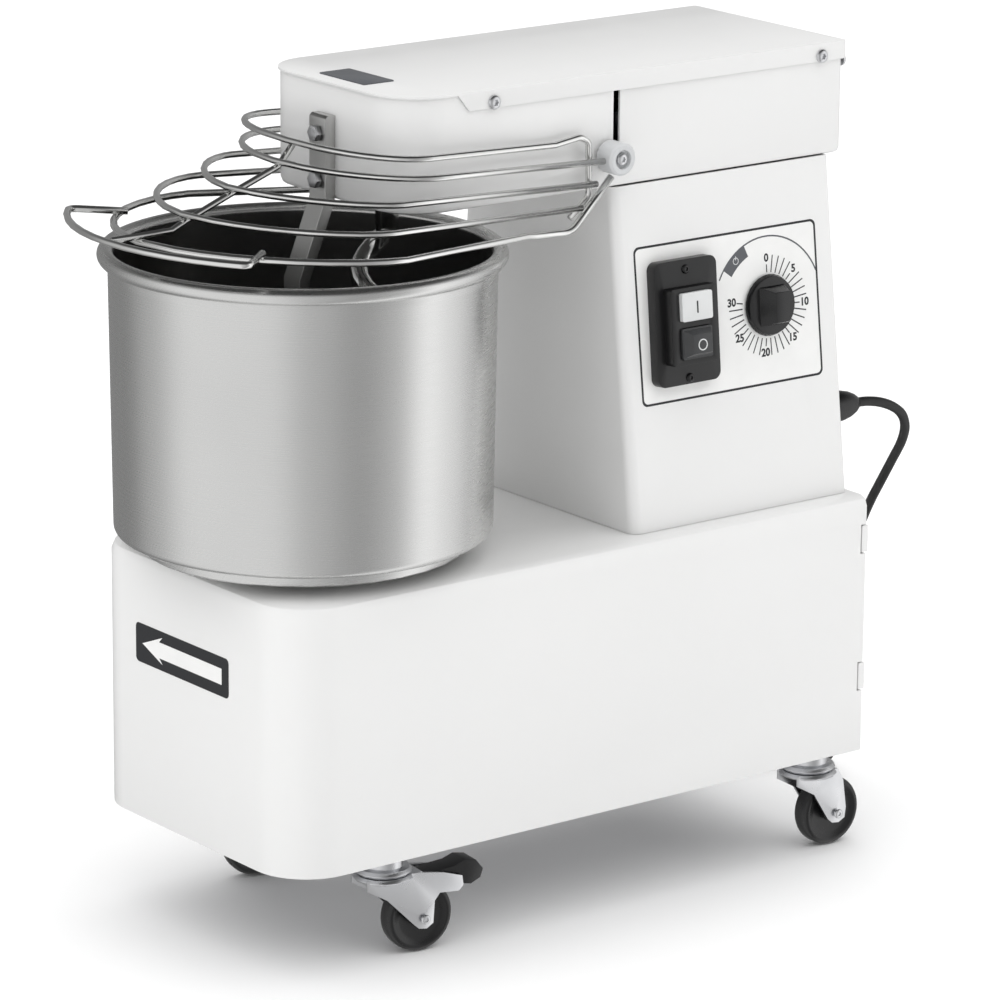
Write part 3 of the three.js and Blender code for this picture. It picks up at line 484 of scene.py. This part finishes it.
HIDDEN = {
    "bowl_bearing": IRON, "gearbox": IRON, "spiral_bearing": IRON, "motor": ENAMEL, "main_shaft": BAR,
    "lower_chain": OILED, "upper_chain": OILED, "bowl_sprocket": OILED, "lower_drive_sprocket": OILED,
    "upper_drive_sprocket": OILED, "spiral_sprocket": OILED, "guard_switch": BLACK, "timer_body": BLACK,
    "guard_shaft": ZINC,
}
for node, material in HIDDEN.items():
    refined(node, material)

# ---------------------------------------------------------------- bowl, spiral and breaker bar

refined("bowl_turntable", STEEL, 0.0004)
refined("spiral_hook", CHROME, 0.0, 50)
refined("breaker_bar", BAR, 0.0006, 25)
refined("breaker_bolt_upper", ZINC, 0.0005)
refined("breaker_bolt_lower", ZINC, 0.0005)


def make_bowl():
    """Drawn sheet: a flat foot, a tight bottom bend, a straight wall and a rolled rim."""
    low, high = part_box("bowl")
    rim_out = (high.x - low.x) / 2
    curl = 5.6 * MM
    rim = rim_out - curl
    side = rim - 1.6 * MM
    foot = side - 2 * MM
    wall = 1.5 * MM
    bend = 5 * MM
    bottom, rim_z = low.z, high.z - curl
    outer = [(0, bottom), (foot - bend, bottom)]
    outer += [(foot - bend + bend * math.sin(a), bottom + bend - bend * math.cos(a))
              for a in (math.radians(15 * i) for i in range(1, 7))]
    outer += [(side, rim_z - 12 * MM), (side + 0.1 * MM, rim_z - 9 * MM)]
    start, sweep, steps = math.pi, -1.35 * math.pi, 18
    inside = curl - 1.2 * MM
    turns = [start + sweep * i / steps for i in range(steps + 1)]
    under = [(rim + inside * math.cos(a), rim_z + inside * math.sin(a)) for a in turns]
    over = [(rim + curl * math.cos(a), rim_z + curl * math.sin(a)) for a in reversed(turns)]
    floor = bottom + wall
    soft = bend - wall
    inner = [(side - wall, rim_z - 10 * MM)]
    inner += [(foot - bend + soft * math.cos(a), floor + soft - soft * math.sin(a))
              for a in (math.radians(15 * i) for i in range(7))]
    inner.append((0, floor))
    made = lathe("bowl_finish", outer + under + over + inner, (0, (low.y + high.y) / 2), STEEL, "bowl_unit",
                 144, 50)
    # The second slot is the darker copy of the steel: painted shade on the inside faces of the bowl.
    made.data.materials.append(INNER_SHADE)
    middle = Vector((0, (low.y + high.y) / 2))
    for face in made.data.polygons:
        out = face.center.xy - middle
        inwards = face.normal.xy.dot(out) < -0.2 * out.length or face.normal.z > 0.5
        if inwards and face.center.z < rim_z - 4 * MM and out.length < side - 0.5 * MM:
            face.material_index = 1
    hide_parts("bowl")


make_bowl()

# ---------------------------------------------------------------- guard

for node in frame["nodes"]:
    if node.startswith("guard_ring") or node in ("guard_handle", "guard_rib"):
        refined(node, CHROME, 0.0, 60)
for node in ("guard_bush_right", "guard_bush_left"):
    refined(node, BUSH, 0.0006)

# ---------------------------------------------------------------- casters


def make_wheel(node):
    """A solid wheel: a rounded tread, a dished web and a hub, round its roll axis."""
    roll = next(j for j in frame["joints"] if j["child"] == node)
    axis = Vector(roll["axis"]).normalized()
    centre = Vector(roll["pos_m"])
    reach = max((v.co - centre).dot(axis) for v in frame["nodes"][node].data.vertices)
    radius = centre.z
    web = [(0.11, 0.78), (0.12, 1.0), (0.25, 1.0), (0.29, 0.92), (0.3, 0.72), (0.62, 0.7), (0.72, 0.76),
           (0.8, 0.95), (0.84, 1.0), (0.9, 0.99), (0.95, 0.88), (0.985, 0.66), (1.0, 0.36)]
    right = [(r * radius, x * reach) for r, x in web]
    left = [(r, -x) for r, x in reversed(right)]
    made = lathe(node + "_finish", [*right, *left, right[0]], (0, 0), TYRE, node, 72, 32)
    turn = Vector((0, 0, 1)).rotation_difference(axis).to_matrix().to_4x4()
    made.data.transform(Matrix.Translation(centre) @ turn)
    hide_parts(node)
    for side, sign in (("a", 1), ("b", -1)):
        out = axis * sign
        fork = node.replace("wheel", "fork")
        tip = max((v.co - centre).dot(out) for v in frame["nodes"][fork].data.vertices
                  if (v.co - centre).cross(out).length < 4 * MM)
        face = facing(centre + out * (tip - 0.4 * MM), Vector((0, 0, 1)).cross(out), (0, 0, 1))
        make_pan_screw(f"axle_cap_{side}_{node[13:]}", face, 3.4 * MM, 1.2 * MM, ZINC, fork)


def make_pan_screw(name, place, radius, height, material, body="frame"):
    """A pan head with a six-lobed socket."""

    def build(bm):
        steps = 48
        turn = 2 * math.pi / steps

        def loop(size, level, lobed=False):
            verts = []
            for i in range(steps):
                r = size * (1 + 0.16 * math.cos(6 * i * turn)) if lobed else size
                spot = Vector((r * math.cos(i * turn), r * math.sin(i * turn), level))
                verts.append(bm.verts.new(place @ spot))
            return verts

        rows = [loop(radius, 0), loop(radius, 0.35 * height), loop(0.93 * radius, 0.7 * height),
                loop(0.75 * radius, 0.93 * height), loop(0.55 * radius, height),
                loop(0.42 * radius, height, True), loop(0.4 * radius, 0.4 * height, True)]
        bm.faces.new(rows[0])
        bm.faces.new(rows[-1])
        for lower, upper in zip(rows, rows[1:]):
            for i in range(steps):
                j = (i + 1) % steps
                bm.faces.new((lower[i], lower[j], upper[j], upper[i]))

    return piece(name, mesh_from(name, build), material, body, 45)


for node in sorted(frame["nodes"]):
    if node.startswith("caster_wheel"):
        make_wheel(node)
    elif node.startswith("caster"):
        refined(node, ZINC, 0.0003, 35)
    elif node.startswith("brake_lever"):
        refined(node, BLACK, 0.0005, 35)

# ---------------------------------------------------------------- control panel

# The column's sides lean in towards the top.
TILT = math.radians(5.611)
COLUMN_SIDE = Vector((0.09007, 0, 0.4028))
FOIL_THICKNESS = 0.15 * MM
INK_THICKNESS = 0.08 * MM
PANEL_UP = Vector((-math.sin(TILT), 0, math.cos(TILT)))
PANEL_OUT = Vector((math.cos(TILT), 0, math.sin(TILT)))


def panel_point():
    """The point of the column's side that lies behind the middle of the timer's knob, at y = 0."""
    knob_low, knob_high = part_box("timer_knob")
    middle = (knob_low + knob_high) / 2
    off = (middle - COLUMN_SIDE).dot(PANEL_OUT)
    centre = middle - off * PANEL_OUT
    return Vector((centre.x, 0, centre.z))


SIDE = facing(panel_point(), (0, 1, 0), PANEL_UP)
KNOB_Y = sum(corner.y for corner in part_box("timer_knob")) / 2
SWITCH_Y = sum(corner.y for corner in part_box("switch_housing")) / 2

refined("switch_housing", BLACK, 0.0005)
refined("start_button", KEY_GREY, 0.0005)
refined("stop_button", KEY_DARK, 0.0005)
refined("timer_knob", GLOSS_BLACK, 0.0006)


def make_panel_print():
    top, bottom = 55.4 * MM, -55.6 * MM
    lean = 2 * MM
    left, right = 87.6 * MM, 250.3 * MM
    plate = rounded(left, right, bottom, top, 5 * MM, 6, lean)
    slab("panel_foil", plate, FOIL_THICKNESS, SIDE, FOIL, "frame")
    inset = 0.4 * MM
    width = 1.6 * MM
    outer = rounded(left + inset, right - inset, bottom + inset, top - inset, 4.5 * MM, 6, lean)
    inner = rounded(left + inset + width, right - inset - width, bottom + inset + width, top - inset - width,
                    3.6 * MM, 6, lean)
    lift = SIDE @ Matrix.Translation((0, 0, FOIL_THICKNESS))
    band("panel_border", outer, inner, INK_THICKNESS, lift, INK, "frame")
    return lift


PRINT = make_panel_print()


def tick(angle, inner, outer, width, name):
    """A printed radial line; angles run clockwise from straight up."""
    a = math.radians(angle)
    along = Vector((math.sin(a), math.cos(a)))
    across = Vector((along.y, -along.x)) * width / 2
    corners = [along * inner - across, along * outer - across, along * outer + across, along * inner + across]
    outline = [(KNOB_Y + c.x, c.y) for c in reversed(corners)]
    slab(name, outline, INK_THICKNESS, PRINT, INK, "frame")


def make_dial():
    full, marks = 280, 30
    for i in range(marks + 1):
        reach = 28.5 if i % 5 == 0 else 35
        tick(full * i / marks, 23 * MM, reach * MM, 0.85 * MM, f"dial_tick_{i:02d}")
    for value in range(0, marks + 1, 5):
        a = math.radians(full * value / marks)
        reach = 33 * MM
        size = 7.6 * MM
        digits(str(value), KNOB_Y + reach * math.sin(a), reach * math.cos(a), size, f"dial_number_{value}")
    arc_strip("dial_arc", -62, 67, 47.7 * MM, 48.8 * MM, INK_THICKNESS)
    arc_strip("dial_off_wedge", -53, -24, 39.5 * MM, 48 * MM, 0.09 * MM)
    a = math.radians(-38.5)
    reach = 43.8 * MM
    middle = PRINT @ Matrix.Translation((KNOB_Y + reach * math.sin(a), reach * math.cos(a), 0.09 * MM))
    ring_outer, ring_inner = circle(2.5 * MM, steps=24), circle(2 * MM, steps=24)
    band("power_ring", ring_outer, ring_inner, 0.06 * MM, middle, KEY_GREY, "frame")
    bar = rounded(-0.3 * MM, 0.3 * MM, 0.6 * MM, 3.4 * MM, 0.2 * MM, 2)
    slab("power_bar", bar, 0.07 * MM, middle, KEY_GREY, "frame")


def arc_strip(name, start, end, inner, outer, thickness):
    """A printed strip round the knob, between two angles and two radii."""
    angles = [math.radians(start + (end - start) * i / 24) for i in range(25)]
    edge = [(KNOB_Y + inner * math.sin(a), inner * math.cos(a)) for a in angles]
    edge += [(KNOB_Y + outer * math.sin(a), outer * math.cos(a)) for a in reversed(angles)]
    slab(name, edge, thickness, PRINT, INK_GREY, "frame")


def digits(text, u, v, size, name):
    """Printed dial numbers, set upright and centred on (u, v)."""
    curve = bpy.data.curves.new(name, "FONT")
    curve.body = text
    curve.size = size
    curve.align_x = "CENTER"
    curve.align_y = "CENTER"
    curve.extrude = 0.04 * MM
    curve.offset = 0.28 * MM
    made = bpy.data.objects.new(name + "_text", curve)
    bpy.context.scene.collection.objects.link(made)
    bpy.context.view_layer.update()
    mesh = bpy.data.meshes.new_from_object(made)
    bpy.data.objects.remove(made)
    mesh.transform(PRINT @ Matrix.Translation((u, v, 0.04 * MM)))
    piece(name, mesh, INK, "frame")


make_dial()


def top_of(node):
    """How far a piece on the panel stands out from the column's side."""
    return max((v.co - SIDE.translation).dot(PANEL_OUT) for v in frame["nodes"][node].data.vertices)


def make_switch_marks():
    start_low, start_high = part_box("start_button")
    stop_low, stop_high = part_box("stop_button")
    level = SIDE.translation.z
    start_v = (start_low.z + start_high.z) / 2 - level - 1.8 * MM
    stop_v = (stop_low.z + stop_high.z) / 2 - level - 2.2 * MM
    on = SIDE @ Matrix.Translation((SWITCH_Y, start_v, top_of("start_button") + 0.01 * MM))
    slab("start_mark", rounded(-0.6 * MM, 0.6 * MM, -4.2 * MM, 4.2 * MM, 0.4 * MM, 3), 0.15 * MM, on, INK,
         "start_button")
    off = SIDE @ Matrix.Translation((SWITCH_Y, stop_v, top_of("stop_button") + 0.01 * MM))
    band("stop_mark", circle(4 * MM), circle(3.2 * MM), 0.15 * MM, off, KEY_GREY, "stop_button")
    for name, v in (("upper", 36.5 * MM), ("lower", -38.6 * MM)):
        make_pan_screw(f"switch_screw_{name}", SIDE @ Matrix.Translation((SWITCH_Y, v, 8.5 * MM)), 3.2 * MM,
                       1.4 * MM, GLOSS_BLACK)


make_switch_marks()

# ---------------------------------------------------------------- labels and screws

BASE_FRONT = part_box("base_housing")[0].y
COVER_LOW, COVER_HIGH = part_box("head_cover")


def make_arrow_label():
    front = facing((0, BASE_FRONT, 0), (1, 0, 0), (0, 0, 1))
    left, right, low, high = -62.5 * MM, 47.4 * MM, 185 * MM, 212.5 * MM
    plate = rounded(left, right, low, high, 3.5 * MM)
    slab("arrow_label", plate, 0.2 * MM, front, INK, "frame")
    middle = (low + high) / 2
    tip, neck, end = left + 8 * MM, left + 32 * MM, right - 8 * MM
    half, bar = 9.5 * MM, 5.6 * MM
    lift = front @ Matrix.Translation((0, 0, 0.2 * MM))
    outer = [(tip, middle), (neck, middle - half), (neck - 4 * MM, middle - bar), (end, middle - bar),
             (end, middle + bar), (neck - 4 * MM, middle + bar), (neck, middle + half)]
    slab("arrow_mark", outer, 0.1 * MM, lift, FOIL, "frame")


make_arrow_label()


def make_badge():
    top = facing((0, 0, COVER_HIGH.z), (1, 0, 0), (0, 1, 0))
    plate = rounded(-28 * MM, 23 * MM, -92 * MM, -67 * MM, 1.2 * MM, 4)
    slab("cover_badge", plate, 0.8 * MM, top, INK_GREY, "frame", 0.2 * MM)


make_badge()


def make_cover_screws():
    """Four screws in the cover's sides, two in its back, and one in each of the guard's bushes."""
    radius, height = 4.8 * MM, 2.4 * MM
    for side, x in (("right", COVER_HIGH.x), ("left", COVER_LOW.x)):
        sign = 1 if side == "right" else -1
        face = facing((x, 0, 0), (0, sign, 0), (0, 0, 1))
        for end, y in (("front", -29.5 * MM), ("rear", 254.8 * MM)):
            place = face @ Matrix.Translation((sign * y, 570.5 * MM, 0))
            make_pan_screw(f"cover_screw_{side}_{end}", place, radius, height, ZINC)
    back = facing((0, COVER_HIGH.y, 0), (-1, 0, 0), (0, 0, 1))
    for side, x in (("right", 75 * MM), ("left", -75 * MM)):
        place = back @ Matrix.Translation((-x, 565 * MM, 0))
        make_pan_screw(f"cover_screw_rear_{side}", place, radius, height, ZINC)
    for side, sign in (("right", 1), ("left", -1)):
        low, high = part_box(f"guard_bush_{side}")
        x = high.x if sign > 0 else low.x
        centre = (low + high) / 2
        face = facing((x - sign * 2.2 * MM, centre.y, centre.z), (0, sign, 0), (0, 0, 1))
        make_pan_screw(f"bush_screw_{side}", face, 4.2 * MM, 2.0 * MM, ZINC, "guard")


make_cover_screws()

# ---------------------------------------------------------------- floor and light


def make_floor():
    def build(bm):
        half = 20
        corners = ((-half, -half, 0), (half, -half, 0), (half, half, 0), (-half, half, 0))
        bm.faces.new([bm.verts.new(corner) for corner in corners])

    mesh = mesh_from("floor", build)
    m = Nodes("floor_paper", (0.97, 0.97, 0.97), 0.8)
    m.rough(m.noise(3), 0.75, 0.85)
    mesh.materials.append(m.material)
    floor = bpy.data.objects.new("floor", mesh)
    bpy.context.scene.collection.objects.link(floor)
    floor.location.z = -0.0003
    floor.visible_glossy = False


def area_light(name, place, target, width, height, power):
    data = bpy.data.lights.new(name, "AREA")
    data.shape = "RECTANGLE"
    data.size = width
    data.size_y = height
    data.energy = power
    light = bpy.data.objects.new(name, data)
    light.location = place
    light.visible_glossy = False
    light.rotation_euler = (Vector(target) - Vector(place)).to_track_quat("-Z", "Y").to_euler()
    bpy.context.scene.collection.objects.link(light)


# What the steel mirrors, by compass angle: how bright the studio is there.
STUDIO = ((-165, 0.28), (-138, 0.55), (-108, 0.95), (-55, 0.92), (-30, 0.62), (0, 0.42), (22, 0.6), (44, 1.3),
          (62, 1.0), (95, 0.5), (150, 0.28))


def make_world():
    world = bpy.data.worlds.new("studio")
    world.use_nodes = True
    tree = world.node_tree

    def math_node(operation, a, b=0.0):
        node = tree.nodes.new("ShaderNodeMath")
        node.operation = operation
        for socket, value in zip(node.inputs, (a, b)):
            if isinstance(value, bpy.types.NodeSocket):
                tree.links.new(value, socket)
            else:
                socket.default_value = value
        return node.outputs[0]

    direction = tree.nodes.new("ShaderNodeSeparateXYZ")
    tree.links.new(tree.nodes.new("ShaderNodeTexCoord").outputs["Generated"], direction.inputs[0])
    east, north, height = direction.outputs
    share = math_node("ADD", math_node("DIVIDE", math_node("ARCTAN2", north, east), 2 * math.pi), 0.5)
    ramp = tree.nodes.new("ShaderNodeValToRGB")
    ramp.color_ramp.interpolation = "EASE"
    for i, (angle, bright) in enumerate(STUDIO):
        place = angle / 360 + 0.5
        stop = ramp.color_ramp.elements[i] if i < 2 else ramp.color_ramp.elements.new(place)
        stop.position = place
        stop.color = (bright, bright, bright, 1)
    tree.links.new(share, ramp.inputs[0])
    ceiling = tree.nodes.new("ShaderNodeMapRange")
    for name, value in (("From Min", 0.3), ("From Max", 0.7), ("To Min", 0.0), ("To Max", 1.0)):
        ceiling.inputs[name].default_value = value
    tree.links.new(height, ceiling.inputs["Value"])
    mix = tree.nodes.new("ShaderNodeMix")
    mix.data_type = "RGBA"
    tree.links.new(ceiling.outputs[0], mix.inputs[0])
    tree.links.new(ramp.outputs[0], mix.inputs[6])
    mix.inputs[7].default_value = (0.06, 0.06, 0.06, 1)
    background = tree.nodes["Background"]
    tree.links.new(mix.outputs[2], background.inputs[0])
    background.inputs[1].default_value = 0.97
    bpy.context.scene.world = world


def make_studio():
    bpy.context.scene.view_settings.view_transform = "Standard"
    middle = (0, 0, 0.3)
    area_light("right", (3.2, 0.4, 1.4), middle, 2.0, 2.0, 1)
    area_light("front", (-0.6, -3.2, 1.5), middle, 2.0, 2.0, 8)
    data = bpy.data.lights.new("overhead", "SUN")
    data.energy = 3.3
    data.angle = math.radians(110)
    overhead = bpy.data.objects.new("overhead", data)
    overhead.visible_glossy = False
    bpy.context.scene.collection.objects.link(overhead)


make_floor()
make_world()
make_studio()
